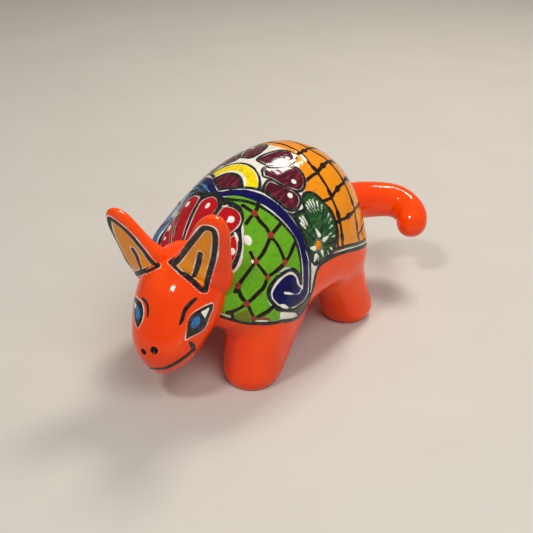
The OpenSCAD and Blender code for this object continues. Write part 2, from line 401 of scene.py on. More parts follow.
def make_piece(name, points, quads, triangles, fields, material, node, sharp=None):
    """A closed mesh piece: faces turned outwards by the sign of its volume, paint fields as attributes."""
    corners = points[np.concatenate([quads[:, [0, 1, 2]], quads[:, [0, 2, 3]], triangles])]
    volume = (corners[:, 0] * np.cross(corners[:, 1], corners[:, 2])).sum() / 6
    if volume < 0:
        quads, triangles = quads[:, ::-1], triangles[:, ::-1]
    mesh = bpy.data.meshes.new(name)
    mesh.vertices.add(len(points))
    mesh.vertices.foreach_set("co", seat(points).astype(np.float32).ravel())
    order = np.concatenate([quads.ravel(), triangles.ravel()])
    sizes = np.concatenate([np.full(len(quads), 4), np.full(len(triangles), 3)])
    mesh.loops.add(len(order))
    mesh.loops.foreach_set("vertex_index", order.astype(np.int32))
    mesh.polygons.add(len(sizes))
    mesh.polygons.foreach_set("loop_start", (np.cumsum(sizes) - sizes).astype(np.int32))
    mesh.polygons.foreach_set("loop_total", sizes.astype(np.int32))
    mesh.update(calc_edges=True)
    mesh.validate()
    mesh.polygons.foreach_set("use_smooth", np.ones(len(sizes), bool))
    if sharp is not None:
        ends = np.zeros(len(mesh.edges) * 2, np.int32)
        mesh.edges.foreach_get("vertices", ends)
        crease = sharp[ends.reshape(-1, 2)].all(1)
        mesh.attributes.new("sharp_edge", "BOOLEAN", "EDGE").data.foreach_set("value", crease)
    for field, values in fields.items():
        spread = np.full(len(points), FAR, np.float32)
        spread[:len(values)] = values.ravel()
        mesh.attributes.new(field, "FLOAT", "POINT").data.foreach_set("value", spread)
    mesh.materials.append(material)
    piece = bpy.data.objects.new(name, mesh)
    bpy.context.scene.collection.objects.link(piece)
    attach(piece, "root")
    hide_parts(node)


def make_tube_piece(node, rings, first, last, fields, material):
    """A closed piece from rings of points, with a point that closes each end."""
    count, columns = rings.shape[:2]
    points = np.concatenate([rings.reshape(-1, 3), [first, last]])
    quads = ring_faces(count, columns, True)
    row = np.arange(columns + 1) % columns
    triangles = np.concatenate([fan(row, count * columns, True),
                                fan(row + (count - 1) * columns, count * columns + 1)])
    make_piece(node + "_glazed", points, quads, triangles, fields, material, node)


# ---- materials ----


def linear(colour):
    """An sRGB hex colour as linear RGBA."""
    values = [int(colour[i:i + 2], 16) / 255 for i in (1, 3, 5)]
    return tuple(v / 12.92 if v <= 0.04045 else ((v + 0.055) / 1.055) ** 2.4 for v in values) + (1.0,)


def add(tree, kind, inputs=(), **settings):
    """Adds a node, applies its settings, and links or sets its inputs, given by name or number."""
    node = tree.nodes.new("ShaderNode" + kind)
    for key, value in settings.items():
        setattr(node, key, value)
    for key, value in dict(inputs).items():
        if isinstance(value, bpy.types.NodeSocket):
            tree.links.new(value, node.inputs[key])
        else:
            node.inputs[key].default_value = value
    return node


def new_material(name):
    """An empty material and its node tree."""
    material = bpy.data.materials.new(name)
    material.use_nodes = True
    material.node_tree.nodes.clear()
    return material, material.node_tree


GLAZE_IOR = 1.42                    # a little under common glass, so that the sheen leaves the colour deep


def glaze(tree, colour, bump_normal, roughness):
    """Clear glass fired over the colour: a smooth dielectric that reflects sharply."""
    surface = add(tree, "BsdfPrincipled", {"Base Color": colour, "Normal": bump_normal})
    surface.inputs["Roughness"].default_value = roughness
    surface.inputs["IOR"].default_value = GLAZE_IOR
    add(tree, "OutputMaterial", {"Surface": surface.outputs[0]})


def noise(tree, place, wave_mm, detail=2.0):
    """Noise whose features are about wave_mm across."""
    return add(tree, "TexNoise", {"Vector": place, "Scale": 1 / (wave_mm * MM),
                                  "Detail": detail}).outputs[0]


# ---- enamel colours and where they go ----


# Each enamel: its colour, and the colour it shows where the brush left it thin or pooled
ENAMELS = {
    "cream": ("#E9E3D4", "#D2CBBA"),
    "green": ("#66A81C", "#57991A"),
    "blue": ("#2E78B4", "#1F588E"),
    "olive": ("#6E7608", "#4E5606"),
    "crimson": ("#B80C18", "#8C0812"),
    "maroon": ("#4C0E1C", "#842A40"),
    "navy": ("#0C0A52", "#05041E"),
    "yellow": ("#F2D800", "#D9A800"),
    "amber": ("#F09206", "#E68604"),
    "fan_green": ("#1E4A1E", "#48793E"),
    "grey": ("#5A5F5E", "#8A8F8C"),
    "charcoal": ("#1A1D1C", "#414643"),
    "lattice": ("#1C0D0A", "#3A1A12"),
    "red_brown": ("#96382A", "#6E2018"),
    "white": ("#F1EEE4", "#DAD6C8"),
    "orange_dab": ("#EE9412", "#C86A06"),
    "black": ("#050404", "#0C0808"),
}

# How far each kind of enamel stands above the clay, and how the vent and the bare feet are cut
FILL_RISE, LINE_RISE, DAB_RISE, WHITE_RISE = 0.08, 0.13, 0.28, 0.22
VENT_DEEP, VENT_LIP = 4.4, 0.35
BARE_FOOT = 0.35
NOSTRIL_DEEP = 1.3

SHELL_PAINT = ["cream", "green", "blue", "olive", "crimson", "amber", "yellow", "maroon", "fan_green",
               "navy", "grey", "charcoal", "lattice", "red_brown", "white", "orange_dab"]

# Lower edge of the painted shell, from the collar back to the rump
BORDER = [(-51, -10), (-47, -14), (-44.5, -16.5), (-41, -15.5), (-38, -15.8), (-35, -16.6), (-32, -17.5),
          (-29.5, -20.5), (-27, -23.5), (-24, -26.5), (-20, -29.5), (-16.5, -29), (-14, -22),
          (-12.6, -13), (-11, -3), (-9, 5), (-6, 9.5), (0, 10.5), (5, 10.3), (11, 9), (17, 7.2), (23, 5),
          (29, 3), (36, 0.5),
          (44, -1), (51, -1)]


def mirrored(route):
    """The same route on the other side of the spine."""
    return [(u, 180 - v) for u, v in reversed(route)]


# The collar flower's petals on the left and the one on the spine; the right ones mirror the left
FLOWER = [[(-49.5, 29), (-47, 30.5), (-43.6, 34), (-40.3, 37), (-37.2, 42), (-35.4, 47.5), (-34.8, 53),
           (-38, 53.8), (-43, 54.2), (-49.5, 54)],
          [(-49.5, 59), (-43, 58.8), (-38, 58.2), (-34.6, 57), (-31.6, 57.2), (-29.4, 60), (-28.7, 65),
           (-29.1, 70), (-30, 74), (-31.6, 76), (-37, 75.6), (-43, 76), (-49.5, 77)],
          [(-49.5, 82), (-43, 82), (-37, 81.4), (-32.5, 80.8), (-30.8, 83), (-29.6, 87), (-29.3, 92),
           (-29.9, 98), (-31, 103), (-32.4, 105), (-34.4, 101.4), (-38, 99.6), (-43, 98.8), (-49.5, 98)]]


def flower_paint(chart):
    """The collar flower: five crimson petals, each a rounded tongue in a thick charcoal line."""
    outlines = FLOWER + [mirrored(FLOWER[1]), mirrored(FLOWER[0])]
    outlines[3] = [(u, min(v + 2.5, 121)) for u, v in outlines[3]]
    petals = chart.patches(outlines)
    edge = [(-51, 22), (-47, 25.6), (-44, 29), (-40.5, 32), (-36.8, 38), (-34, 44.5), (-32.6, 50),
            (-31, 54.6), (-28.3, 58.5), (-26.6, 65), (-27, 72), (-28, 78), (-27.2, 84), (-27, 92),
            (-28, 101), (-29.5, 108),
            (-27.4, 115), (-28.4, 122), (-31, 126), (-34, 135.5), (-38, 143), (-44, 151), (-51, 158)]
    bed = chart.patch(edge + [(-51.5, 140), (-51.5, 40)], 2)
    collar = chart.stroke([(-48.8, 24), (-48.4, 50), (-48.3, 90), (-48.4, 130), (-48.8, 156)], 1.4)
    gleams = chart.strokes([[(-34.2, 54.6), (-34.4, 51)], [(-29.4, 74.4), (-30.8, 77)],
                            [(-31.2, 105), (-32.6, 107.4)], [(-44, 55.4), (-39, 55.2)]], 0.45)
    dots = chart.dots([(-38.2, 44.6, 1.4), (-41.4, 40, 0.7), (-32.2, 64.4, 1.5), (-33.0, 91.4, 1.5),
                       (-32.4, 117.5, 1.45), (-38.2, 135.5, 1.4)])
    tufts = chart.patches([[(-33.2, 44), (-32, 48.5), (-30.6, 46), (-30.8, 42.4), (-32.4, 40.6)],
                           [(-35.4, 47), (-34.6, 54.4), (-33.8, 55), (-34.2, 49)]])
    return {"crimson": petals, "charcoal": np.maximum(bed, 0.25 - petals),
            "white": np.minimum.reduce([dots, gleams, tufts]),
            "lattice": collar}


def scroll_paint(chart):
    """The navy band that runs down from the spine and curls into a scroll above the front leg."""
    band = [(-27.5, 92), (-26.6, 85), (-22.5, 75), (-20.3, 68), (-17.8, 60), (-15.8, 52), (-14, 43),
            (-13.1, 35), (-12.7, 28), (-13.3, 20), (-14.4, 12), (-15.3, 5), (-16.5, 0), (-18.5, -3.5)]
    navy = chart.stroke(band, [2, 3, 3.6, 4, 4.2, 4.2, 4, 3.6, 3.4, 3.4, 3.4, 3.4, 3.6, 4])
    curl = chart.patch([(-34.2, 5), (-33.6, 8.5), (-30.5, 11.7), (-26.5, 13.8), (-22.8, 13.4),
                        (-20.6, 10.5), (-20.2, 6), (-17.5, 1), (-16, -4), (-18.5, -8.5), (-23, -8.6),
                        (-26.5, -7), (-28.6, -4.2), (-30.5, -0.8), (-32.8, 1.8)])
    outer = [[(-22, 80), (-18.2, 72), (-14.9, 63), (-12.9, 52), (-11.3, 44), (-10.6, 35), (-10.4, 27),
              (-10.9, 19), (-11.8, 11), (-12.6, 4), (-13.5, -2)],
             [(-28.2, 82), (-26.3, 74), (-23.4, 66), (-20.2, 56), (-17.6, 46), (-16, 37), (-15.1, 29),
              (-16, 20), (-17, 13), (-18, 7)],
             [(-18.3, 6), (-18.8, 10.5), (-20.3, 14.3), (-22.8, 16.3), (-27, 16), (-31, 14.4),
              (-34.6, 10.5), (-35.6, 6), (-34.8, 2.5), (-33, -1.5), (-30, -5.5), (-27, -9.5),
              (-24, -13.5)]]
    # A charcoal patch under the curl, low on the flank behind the front leg, is painted shade.
    shade_under_curl = chart.patch([(-26, -9.5), (-22, -9.8), (-18, -10), (-15, -5), (-13.2, -2), (-13, -12),
                         (-14.8, -24), (-17.5, -30), (-20, -28), (-22, -22)])
    lines = np.minimum.reduce([chart.stroke(outer[0], 1.5), chart.stroke(outer[1], 1.4),
                               chart.stroke(outer[2], 1.9), shade_under_curl])
    eye_line = [(-28.3, 5.6), (-26.5, 4.4), (-24, 2.8), (-21.5, 1.5), (-19.6, 1.9), (-18.4, 4.2)]
    rim = [(-34.3, 4), (-34.3, 7.5), (-31.3, 11.8), (-27, 14.5), (-23.2, 14.9), (-21, 12.9), (-19.7, 9.4)]
    whites = [chart.stroke(eye_line, [0.9, 0.8, 0.35, 0.3, 0.6, 0.2]), chart.stroke(rim, 0.22),
              chart.stroke([(-29, 16.6), (-25, 17.8), (-21.4, 16.8)], [0.2, 0.35, 0.1]),
              chart.patch([(-32.4, 1), (-30.2, 0.2), (-29, -2.8), (-28, -6), (-30.4, -3.4)]),
              chart.patch([(-33, -7), (-31, -7.6), (-28, -12), (-25, -17), (-23.4, -20.6), (-26, -19.6),
                           (-29, -17), (-32, -14.6), (-33, -11)]),
              chart.stroke([(-12.3, 24), (-11.9, 16), (-12.9, 9)], 0.15),
              chart.stroke([(-24.8, 84), (-21.6, 77), (-18.3, 70)], 0.2)]
    return {"navy": np.minimum(navy, curl), "charcoal": lines, "white": np.minimum.reduce(whites)}


def panel_paint(chart):
    """The green panel over the shoulder: a crooked dark lattice with a red-brown dab at each crossing."""
    ground = chart.patch([(-51, 20), (-44, 27), (-38, 33), (-33, 46), (-29.5, 58), (-27.6, 70), (-28, 82),
                          (-24.8, 76), (-20.4, 62), (-17.6, 46), (-15.2, 33), (-16, 20), (-18, 8),
                          (-19.5, 11), (-21, 15.6), (-25, 17), (-31, 15.4), (-35.6, 10), (-36.2, 3),
                          (-33.2, -4), (-32.6, -9), (-33.4, -14), (-36.5, -14.4), (-42, -15), (-46, -15),
                          (-48, -8), (-51, 2)])
    bars = [[(-29, 54.5), (-26.5, 55.8), (-24.3, 56.5), (-21.5, 58.5), (-20.6, 60)],
            [(-25.6, 66), (-25, 61), (-24.3, 56.5), (-24.2, 50), (-23.5, 44), (-23.8, 38), (-23.3, 32),
             (-23.5, 26), (-23.8, 21)],
            [(-45, 15.5), (-43.4, 19), (-41, 22.3), (-38, 25.6), (-34.3, 28.8), (-31, 30.8), (-28, 33.6),
             (-23.6, 38.4), (-20, 40.5), (-17, 42)],
            [(-33.6, 36), (-34.1, 32), (-34.2, 28.5), (-34, 24), (-33.2, 17.5)],
            [(-48.5, -0.5), (-46, 3), (-43.7, 6), (-41.5, 8.5), (-39, 11), (-36, 13.4), (-33.2, 17.3),
             (-30, 18.6), (-27, 19.6), (-23.8, 21), (-20.5, 23.4), (-16, 28)],
            [(-43.6, 19), (-44.2, 12), (-43.6, 7), (-43.3, 3), (-43, -2), (-42.6, -7), (-42.4, -12)],
            [(-35.6, 1.2), (-37, 0.4), (-38.7, -1.4), (-40.5, -4), (-42.4, -7)]]
    lattice = chart.strokes(bars, 1.55)
    knots = chart.dots([(-24.3, 56.5, 1.35), (-23.6, 38.8, 1.4), (-34.2, 29, 1.4), (-33.2, 17.4, 1.15),
                        (-43.4, 19, 1.25), (-43.6, 6, 1.25), (-23.8, 21, 1.25), (-42.6, -7, 1.2)])
    olive = chart.patch([(-47, -0.5), (-44, 2.6), (-43.6, -3), (-43.4, -8), (-43.6, -13), (-45.4, -15.6),
                         (-47, -12)])
    tan = chart.stroke([(-41.6, -8.4), (-39, -9.3), (-37, -11.6)], [0.6, 1.3, 0.4])
    gleam = chart.stroke([(-42.2, -11.2), (-40.5, -11.2), (-38, -12.4)], [0.4, 0.8, 0.2])
    collar = chart.stroke([(-47.8, 1), (-47.6, -5), (-47.4, -12), (-46.4, -17)], 1.2)
    return {"green": ground, "lattice": np.minimum(lattice, collar), "red_brown": np.minimum(knots, tan),
            "olive": olive, "white": gleam}


def medallion_paint(chart):
    """The medallion on the spine: a maroon fan ringed in yellow that opens towards the rump."""
    apex = (-25.5, 90.0)
    spread = math.radians(62)

    def arc(radius, share=1.0, count=9):
        """Points of an arc about the apex; a degree of lift is about 0.62 mm here."""
        turns = np.linspace(-spread * share, spread * share, count)
        return [(apex[0] + radius * math.cos(a), apex[1] - radius * math.sin(a) / 0.62) for a in turns]

    fan_edge = [apex] + arc(9.6)
    ring = arc(11.5, 0.99) + list(reversed(arc(16.3, 0.86)))
    return {"maroon": chart.patch(fan_edge, 3), "yellow": chart.patch(ring, 2),
            "charcoal": np.minimum.reduce([chart.stroke(fan_edge + [apex], 1.5, 3),
                                           chart.stroke(arc(17.1, 0.9), 1.4)]),
            "white": chart.stroke(arc(10.9, 0.95), 0.3)}


# Maroon petals behind the medallion, on the left; each is an outline and the place of its white dot
PETALS = [([(-14.5, 64.5), (-12, 66.5), (-9.8, 67), (-8.2, 63), (-6.6, 59), (-4.4, 54.4), (-3.4, 50),
            (-4.7, 46.8), (-7, 45.2), (-9.5, 45.6), (-11.2, 48.4), (-12.5, 54), (-13.8, 60)],
           (-6.6, 52.8)),
          ([(-9.2, 72.5), (-7.6, 75.5), (-5.4, 76.4), (-3.6, 74), (-1, 71.2), (3, 68.4), (5.4, 65.6),
            (5.7, 61.5), (4.3, 57), (1.8, 53.6), (-0.9, 53), (-3.2, 55.2), (-5, 58.8), (-6.6, 63.2),
            (-7.6, 68)],
           (-0.6, 58.6)),
          ([(-3.4, 81.4), (-3, 86), (0, 87), (4, 86), (8, 84), (10.8, 81), (11.4, 76.8), (10.2, 73),
            (7.4, 71.2), (4, 71.8), (0.2, 74.6), (-2.6, 77.4)],
           (7.2, 74.6))]


def petal_paint(chart):
    """Maroon petals with thick charcoal outlines and a white dot each, behind the medallion on cream."""
    outlines = [outline for outline, _ in PETALS] + [mirrored(outline) for outline, _ in PETALS]
    fill = chart.patches(outlines)
    edges = np.abs(fill - 0.75) - 0.7
    sheen = np.abs(fill - 1.55) - 0.06
    spots = [spot for _, spot in PETALS]
    dots = chart.dots([(u, v, 1.2) for u, v in spots] + [(u, 180 - v, 1.2) for u, v in spots])
    return {"maroon": fill, "charcoal": edges, "white": np.minimum(dots, sheen)}


def fan_paint(chart):
    """The dark green fan on the flank: petals about an orange dab, with cream strokes at their ends."""
    outline = [(-9.9, 42), (-7, 41.8), (-4, 42), (-2.6, 46), (0, 49.3), (3.6, 48.4), (6.2, 44), (7.7, 39),
               (9.6, 34), (10, 27.5), (8.8, 21), (6.6, 16), (3, 12.6), (-1, 11.8), (-5, 11.6),
               (-8.6, 12.4), (-10.2, 20), (-10.4, 31)]
    fill = chart.patch(outline)
    dividers = [[(-4.4, 42), (-4.7, 35), (-4.3, 27)], [(6.6, 38), (3.4, 33.5), (0.4, 28), (-1.8, 24.5)],
                [(7.2, 17.5), (3.6, 18), (-0.4, 19)], [(-8.6, 31), (-7, 27.5), (-5.6, 24.5)]]
    rays = [[(-2.2, 43.6), (-2.4, 38)], [(5.6, 39), (3.6, 34.8)], [(-8.9, 36), (-7.8, 31.6)],
            [(7, 20.6), (4.6, 21)], [(0.9, 13.4), (0.4, 16)], [(-6, 13.4), (-5, 16.2)],
            [(-0.7, 44.5), (-1.3, 38)], [(0.9, 45), (0, 37.5)], [(2.5, 44.2), (1.2, 37.5)],
            [(4.1, 42), (2.4, 36.5)], [(7.6, 33), (5, 30.6)], [(7.8, 29.8), (5, 28.2)],
            [(7.4, 26.4), (4.6, 25.6)], [(-8.2, 39), (-7, 33.5)],
            [(-6.6, 39), (-6, 33.5)], [(3.6, 14.8), (2.4, 16.4)], [(5.4, 22.8), (3.6, 22.9)]]
    tears = [[(-2.9, 29.4), (-2.2, 25.4)], [(-9, 21.4), (-6.9, 20.2)], [(3.2, 22.2), (-0.2, 21.6)],
             [(-8.7, 13.8), (-6.9, 16)], [(-2.6, 13.2), (-2.9, 16.4)]]
    whites = [chart.stroke(ray, [0.85, 0.2]) for ray in rays]
    whites += [chart.stroke(tear, [0.6, 2.1]) for tear in tears]
    centre = (-4.2, 20.6)
    ring = np.abs(chart.dots([centre + (2.6,)])) - 0.45
    return {"fan_green": fill,
            "charcoal": np.minimum.reduce([chart.stroke(outline + outline[:1], 1.5)]
                                          + [chart.stroke(line, 1.0) for line in dividers]),
            "grey": ring, "white": np.minimum.reduce(whites), "orange_dab": chart.dots([centre + (1.9,)])}


LEAF_SWELL = [0.6, 2.8, 0.6]         # width of a net bar where it swells between two crossings


def net_paint(chart):
    """The amber field over the rump with its dark net, whose bars swell like leaves between crossings."""
    ground = chart.patch([(-8, 10.5), (0, 12), (9, 11.2), (17, 9.4), (25, 7), (33, 3.5), (42, 1), (53, 0),
                          (54.4, 60), (54.4, 120), (53, 180), (9, 170), (13, 130), (12, 104), (12, 90),
                          (12, 76), (8, 68), (3, 56), (0, 44), (2, 28), (-4, 16)], 3)
    bars = [[(15.6, 90), (15.6, 80), (15.5, 71), (14.3, 65), (14.2, 58), (14, 50), (14, 45), (13.3, 40),
             (13.3, 33), (13, 27), (12.5, 22), (11.5, 16), (11.4, 11.5)],
            [(24, 90), (24, 81), (24.5, 73), (27, 66), (28, 60), (28.5, 54), (28.3, 46), (28, 40),
             (27.5, 30), (26, 23), (24.8, 17), (26, 9)],
            [(35, 90), (35.5, 78), (37, 66), (38, 54), (38, 42), (37, 30), (36.5, 18), (37, 5)],
            [(45, 90), (45.5, 72), (46.5, 54), (47, 36), (46.5, 18), (46, 2)],
            [(12.6, 74), (17, 74.4), (22, 76), (30, 78), (40, 79), (50, 78), (54.3, 78)],
            [(5.4, 55.6), (10, 56.5), (14, 56.8), (18, 58.6), (24, 60.8), (31, 62.6), (40, 63), (50, 60),
             (54.3, 58)],
            [(8, 40.4), (13.4, 40.2), (17, 42), (23, 44), (28, 45.2), (34, 48), (42, 47.5), (51, 44),
             (54.3, 42)],
            [(10.2, 26.6), (14, 26.6), (19, 26), (24, 26.6), (28, 27.6), (35, 28.6), (43, 29), (51, 26),
             (54.3, 24)],
            [(25, 12.5), (31, 13.5), (38, 14), (46, 13), (52, 10), (54.3, 8)]]
    bars += [mirrored(bar) for bar in bars]
    net = np.minimum.reduce([chart.stroke(bar, 1.6) for bar in bars])
    leaves = [[(14.2, 63), (14.2, 57)], [(13.9, 47), (13.5, 39)], [(13.4, 34), (13, 26)],
              [(12.4, 21), (11.6, 14)], [(27.6, 64), (28.3, 57)], [(28.4, 50), (28.1, 43)],
              [(27.8, 36), (27.2, 28)], [(26, 22), (25, 15)],
              [(18, 58.6), (24, 60.8)], [(17, 42), (23, 44)], [(17, 26.3), (23, 26.5)],
              [(31, 62.6), (36, 63)], [(32, 47), (37, 48)], [(31, 28), (36, 28.7)],
              [(17, 74.4), (22, 76)]]
    leaves = [[a, ((a[0] + b[0]) / 2, (a[1] + b[1]) / 2), b] for a, b in leaves]
    leaves += [mirrored(leaf) for leaf in leaves]
    swells = [chart.stroke(leaf, LEAF_SWELL) for leaf in leaves]
    edge = chart.stroke([(9.6, 34), (10.2, 27.5), (9.6, 20), (8, 14.6), (9.6, 12)], 1.3)
    return {"amber": ground, "lattice": np.minimum.reduce([net, edge] + swells)}


def border_paint(chart):
    """The cream ground above the border, and the charcoal and grey lines that finish its edge."""
    ground = chart.patch(BORDER + [(54.6, 60), (54.6, 110), (40, 185), (0, 190), (-40, 190), (-52, 150),
                                   (-52, 40)], 3)
    line = chart.stroke(BORDER, 1.7, 4)
    grey = chart.stroke([(u, v + 2.6) for u, v in BORDER[16:]], 0.9)
    upper = chart.stroke([(u, v + 3.4) for u, v in BORDER[17:]], 1.2)
    return {"cream": ground, "charcoal": np.minimum(line, upper), "grey": grey}


def paint_shell(chart, side, points):
    """Every enamel's field on the shell or on a leg, and how far the enamel stands up from the clay."""
    fields = {name: chart.empty() for name in SHELL_PAINT}
    for part in (border_paint, net_paint, petal_paint, medallion_paint, fan_paint, scroll_paint,
                 panel_paint, flower_paint):
        for name, field in part(chart).items():
            fields[name] = np.minimum(fields[name], field)
    off_ground = fields["cream"]
    for name in SHELL_PAINT:
        if name not in ("cream", "charcoal", "grey"):
            fields[name] = np.maximum(fields[name], off_ground)
    if side < 0:
        fields["blue"], fields["green"] = fields["green"], fields["blue"]
    vent = np.hypot(points[..., 0], points[..., 1] - CROWN)
    hollow = -VENT_DEEP * ease(VENT_R + VENT_LIP, VENT_R - VENT_LIP, vent) * (points[..., 2] < WAIST)
    fields["vent"] = np.where(points[..., 2] < WAIST, vent - VENT_R, FAR)
    fields["foot"] = points[..., 2] - BARE_FOOT
    fills = np.minimum.reduce([fields[name] for name in SHELL_PAINT[1:10]])
    lines = np.minimum.reduce([fields["charcoal"], fields["lattice"]])
    dabs = np.minimum(fields["red_brown"], fields["orange_dab"])
    raised = (FILL_RISE * ease(0.2, -0.5, fills) + LINE_RISE * ease(0.3, -0.5, lines)
              + DAB_RISE * ease(0.4, -0.9, dabs) + WHITE_RISE * ease(0.3, -0.8, fields["white"]))
    return fields, raised + hollow


FACE_PAINT = ["amber", "charcoal", "blue", "white", "black"]


def paint_head(chart):
    """Eyes outlined in black with a blue iris, brows, pierced nostrils, a mouth that curls at the cheek,
    and the lowest part of each ear's painted triangle where it runs on to the skull."""
    left_eye = [(0.692, -29), (0.645, -33), (0.582, -38), (0.54, -35.5), (0.5, -29), (0.46, -22),
                (0.436, -15.5), (0.468, -11.4), (0.52, -10.6), (0.565, -7.8), (0.6, -8.6), (0.63, -13),
                (0.655, -20), (0.674, -25)]
    right_eye = [(0.705, -110), (0.68, -105), (0.64, -102), (0.6, -103.5), (0.57, -109), (0.553, -118),
                 (0.54, -128), (0.532, -139), (0.565, -137), (0.605, -132), (0.65, -125), (0.69, -117)]
    eyes = chart.patches([left_eye, right_eye])
    iris = chart.patches([[(0.622, -27), (0.605, -22.5), (0.58, -20.8), (0.555, -22.6), (0.543, -26),
                           (0.55, -30), (0.578, -32), (0.606, -31)],
                          [(0.665, -110.5), (0.638, -107.6), (0.606, -111), (0.588, -118), (0.606, -122),
                           (0.645, -118)]])
    shines = chart.patches([[(0.54, -16), (0.527, -21), (0.514, -26.4), (0.492, -22), (0.47, -18.4),
                             (0.505, -16.6)],
                            [(0.585, -122), (0.572, -127), (0.565, -131), (0.59, -129), (0.602, -125)]])
    brows = np.minimum(chart.stroke([(0.618, -46), (0.59, -45.6), (0.545, -46.8), (0.5, -44.4),
                                     (0.455, -40)],
                                    [1.2, 1.7, 1.6, 1.5, 1.0]),
                       chart.stroke([(0.63, -93.5), (0.6, -94.4), (0.57, -98), (0.553, -103),
                                     (0.54, -111)],
                                    [0.8, 1.2, 1.3, 1.2, 0.7]))
    mouth = np.minimum(chart.stroke([(0.702, -20), (0.712, -15), (0.727, -9), (0.748, -3)],
                                    [1.4, 1.9, 2.0, 1.6]),
                       chart.stroke([(0.742, -6), (0.785, -11), (0.835, -20), (0.88, -29), (0.915, -39),
                                     (0.933, -50), (0.945, -64), (0.955, -80), (0.963, -97), (0.97, -115),
                                     (0.972, -135)],
                                    [1.9, 2.1, 2.2, 2.2, 2.0, 1.6, 1.5, 1.3, 1.3, 1.2, 0.8]))
    holes = chart.dots([(0.805, -74, 1.55), (0.838, -99, 1.45)])
    left_base = chart.patch([(0.306, -80), (0.333, -66), (0.352, -52), (0.364, -40), (0.33, -38.6),
                             (0.26, -41), (0.18, -45), (0.08, -48), (0.08, -82), (0.2, -80), (0.27, -79)])
    right_base = chart.patch([(0.345, -142), (0.352, -128), (0.34, -117), (0.31, -125), (0.27, -140),
                              (0.25, -150)])
    ear_lines = [chart.stroke([(0.302, -90), (0.318, -82), (0.345, -68), (0.37, -52), (0.39, -39),
                               (0.382, -34)], 2.3),
                 chart.stroke([(0.302, -89), (0.25, -84.6), (0.18, -83), (0.08, -83)], 2.3),
                 chart.stroke([(0.382, -34), (0.33, -37.4), (0.26, -41), (0.18, -45), (0.08, -48)], 2.3),
                 chart.stroke([(0.332, -55.6), (0.28, -56.6), (0.215, -62.5)], [2.0, 2.1, 1.5]),
                 chart.stroke([(0.355, -148), (0.372, -133), (0.366, -116), (0.34, -103.6)], 2.1),
                 chart.stroke([(0.34, -103.6), (0.322, -112), (0.287, -128), (0.25, -142)], 2.1)]
    amber = np.minimum(left_base, right_base)
    specks = chart.dots([(0.375, -106, 0.35), (0.355, -95, 0.3)])
    chip = chart.stroke([(0.8, -42), (0.77, -41.4), (0.75, -38), (0.722, -36), (0.705, -34.6)],
                        [0.2, 0.4, 0.1, 0.3, 0.2])
    drawn = np.minimum.reduce([eyes, brows, mouth] + ear_lines)
    rings = np.maximum(np.abs(drawn - 0.28) - 0.16, -np.minimum(eyes, ear_lines[0]) - 0.2)
    rings = np.where(np.minimum.reduce([eyes] + ear_lines) < 1.0, rings, FAR)
    fields = {"charcoal": drawn, "blue": iris, "black": holes,
              "amber": np.minimum.reduce([amber, specks, chip]),
              "white": np.minimum(shines, rings)}
    relief = 0.1 * ease(0.3, -0.4, drawn) - NOSTRIL_DEEP * ease(0.4, -1.2, holes)
    return fields, relief


def flat_place(across, along):
    """A flat chart: millimetres across and along an ear's face."""
    across, along = np.broadcast_arrays(across, along)
    return np.stack([across, along, 0 * along], -1)


def paint_ear(chart, depth, triangle, bar):
    """An ear's face: an amber triangle outlined in charcoal, with one short bar inside."""
    amber = chart.patch(triangle, 2)
    lines = np.minimum(chart.stroke(triangle + triangle[:1], 2.3, 4), chart.stroke(bar, [2.1, 2.3, 1.5]))
    edge = np.abs(lines - 0.2) - 0.17
    fields = {"amber": amber, "charcoal": lines, "white": edge,
              "blue": chart.empty(), "black": chart.empty()}
    for name in ("amber", "charcoal", "white"):
        fields[name] = np.where(depth > -0.4, fields[name], FAR)
    relief = 0.12 * ease(0.3, -0.4, fields["charcoal"]) - 0.5 * ease(0.5, -2.5, fields["amber"])
    return fields, relief


def paint_left_ear(chart, depth):
    """The left ear's tall triangle, whose base slopes down to the skull."""
    triangle = [(-12.2, 15.3), (-10.2, 19.5), (-8, 26), (-5.6, 33), (-3.8, 38), (-2.2, 39.6), (0.3, 39.6),
                (1.6, 37), (2.4, 32), (2.8, 26), (2.6, 19), (2.4, 12), (2.1, 9.4), (-2, 10.8), (-7, 13.1)]
    return paint_ear(chart, depth, triangle, [(-2.5, 26.2), (-2.4, 20.5), (-3.1, 13)])


def paint_right_ear(chart, depth):
    """The right ear's triangle, narrower at its tip and turned more to the front."""
    triangle = [(-9.2, 7.3), (-9.3, 14), (-8.3, 21), (-6, 27.5), (-3, 32.6), (-1.4, 33.6), (0.6, 32),
                (2.8, 28.4), (4.3, 24), (5.2, 19), (6.3, 14.2), (7.4, 10.2), (3, 9.3), (-2, 8.6),
                (-6, 7.7)]
    return paint_ear(chart, depth, triangle, [(0.2, 18.6), (0, 15), (-0.2, 10.4)])


# How far, in mm, an edge is bent by the hand, roughened by the bristles and softened by the glaze
HAND_BEND, RAGGED, EDGE_SOFT = 0.34, 0.1, 0.14


